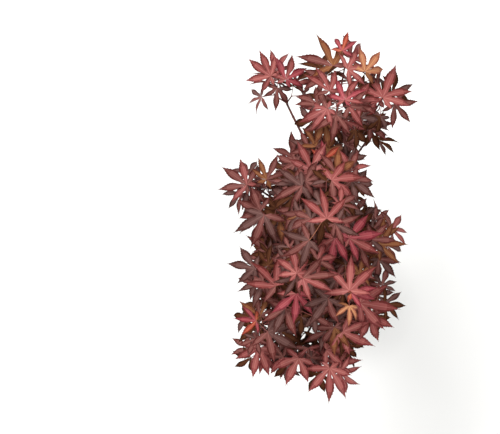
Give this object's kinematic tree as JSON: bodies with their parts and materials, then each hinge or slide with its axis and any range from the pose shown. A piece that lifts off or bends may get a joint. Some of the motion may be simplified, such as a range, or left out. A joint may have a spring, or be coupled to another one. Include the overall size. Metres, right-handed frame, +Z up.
{
  "type": "potted japanese maple",
  "caption": "Young purple-leaved Japanese maple: a short trunk forks into leaders and boughs that carry masses of star-shaped leaves, in a plain round black nursery pot.",
  "frame": {"origin": "middle of the pot's flat underside, on the surface that it stands on", "axes": "+Z up. +Y is the crown's long way, with its narrow upper spray on that side. +X is across the crown."},
  "size_m": [0.2393, 0.4578, 0.5879],
  "materials": {
    "pot": "semi-matt black moulded plastic, slightly uneven",
    "compost": "moist dark bark and peat compost, crumbly",
    "bark": "smooth grey-brown young bark, turning dark purple-red on the thinner boughs",
    "leaves": "satin purple-red leaves, from dark plum to bright crimson and bronze at the young tips"
  },
  "bodies": {
    "root": {"pot": "pot", "compost": "compost", "trunk": "bark", "leader_centre": "bark", "leader_far": "bark", "leader_near": "bark", "leader_side": "bark", "bough_mid_left": "bark", "bough_mid_right": "bark", "bough_left_shoulder": "bark", "bough_right_shoulder": "bark", "bough_left_arm": "bark", "bough_right_arm": "bark", "bough_low_left": "bark", "bough_low_right": "bark", "bough_far_tip": "bark", "bough_far_right": "bark", "bough_far_left": "bark", "bough_far_low": "bark", "bough_neck": "bark", "bough_low_far": "bark", "bough_near_right_shoulder": "bark", "bough_near_left_shoulder": "bark", "bough_near_mid": "bark", "bough_right_fan": "bark", "bough_near_left": "bark", "bough_low_near": "bark", "bough_near_tip": "bark", "bough_near_tip_left": "bark", "bough_near_left_tip": "bark", "leaves_crown_top": "leaves", "leaves_mid_right": "leaves", "leaves_mid_left": "leaves", "leaves_neck": "leaves", "leaves_far_mid": "leaves", "leaves_far_tip": "leaves", "leaves_far_right": "leaves", "leaves_far_left": "leaves", "leaves_far_low": "leaves", "leaves_left_arm": "leaves", "leaves_left_shoulder": "leaves", "leaves_right_shoulder": "leaves", "leaves_right_arm": "leaves", "leaves_near_centre": "leaves", "leaves_near_left_shoulder": "leaves", "leaves_near_right_shoulder": "leaves", "leaves_right_fan": "leaves", "leaves_near_mid": "leaves", "leaves_near_core": "leaves", "leaves_near_left": "leaves", "leaves_near_left_tip": "leaves", "leaves_near_tip_left": "leaves", "leaves_near_tip": "leaves", "leaves_low_far": "leaves", "leaves_low_left": "leaves", "leaves_low_right": "leaves", "leaves_low_near": "leaves"}
  },
  "joints": []
}
